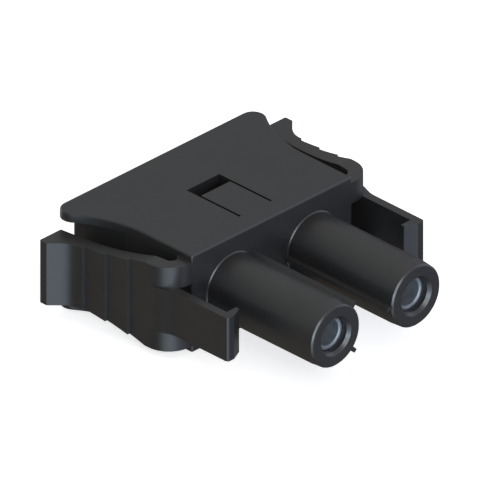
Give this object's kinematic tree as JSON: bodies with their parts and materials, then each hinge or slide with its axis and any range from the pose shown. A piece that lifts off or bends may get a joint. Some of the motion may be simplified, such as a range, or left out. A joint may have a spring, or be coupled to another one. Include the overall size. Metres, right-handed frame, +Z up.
{
  "type": "rf coaxial connector",
  "caption": "Two-way coaxial plug with a black latched housing, ribbed barrels, a rear retainer and slotted centre contacts",
  "frame": {"origin": "centre of the housing's flat front face, midway between the two barrels and on the level of their axes", "axes": "+X across the two ways, -Y the way the barrels point and the plug mates, +Z up through the wall with the latch tongue"},
  "size_m": [0.0312, 0.0282, 0.01],
  "materials": {
    "housing_plastic": "fine moulded grain, semi-gloss black",
    "retainer_plastic": "moulded, matt black",
    "nickel_plate": "turned brass, nickel plated",
    "insulator_white": "smooth white fluoropolymer",
    "gold_plate": "turned, gold plated",
    "ferrule_plate": "drawn copper tube, nickel plated"
  },
  "bodies": {
    "root": {"housing": "housing_plastic", "rear_retainer": "retainer_plastic", "outer_contact_left": "nickel_plate", "outer_contact_right": "nickel_plate", "front_insulator_left": "insulator_white", "front_insulator_right": "insulator_white", "centre_contact_left": "gold_plate", "centre_contact_right": "gold_plate", "rear_insulator_left": "insulator_white", "rear_insulator_right": "insulator_white", "crimp_body_left": "nickel_plate", "crimp_body_right": "nickel_plate", "crimp_ferrule_left": "ferrule_plate", "crimp_ferrule_right": "ferrule_plate"}
  },
  "joints": []
}
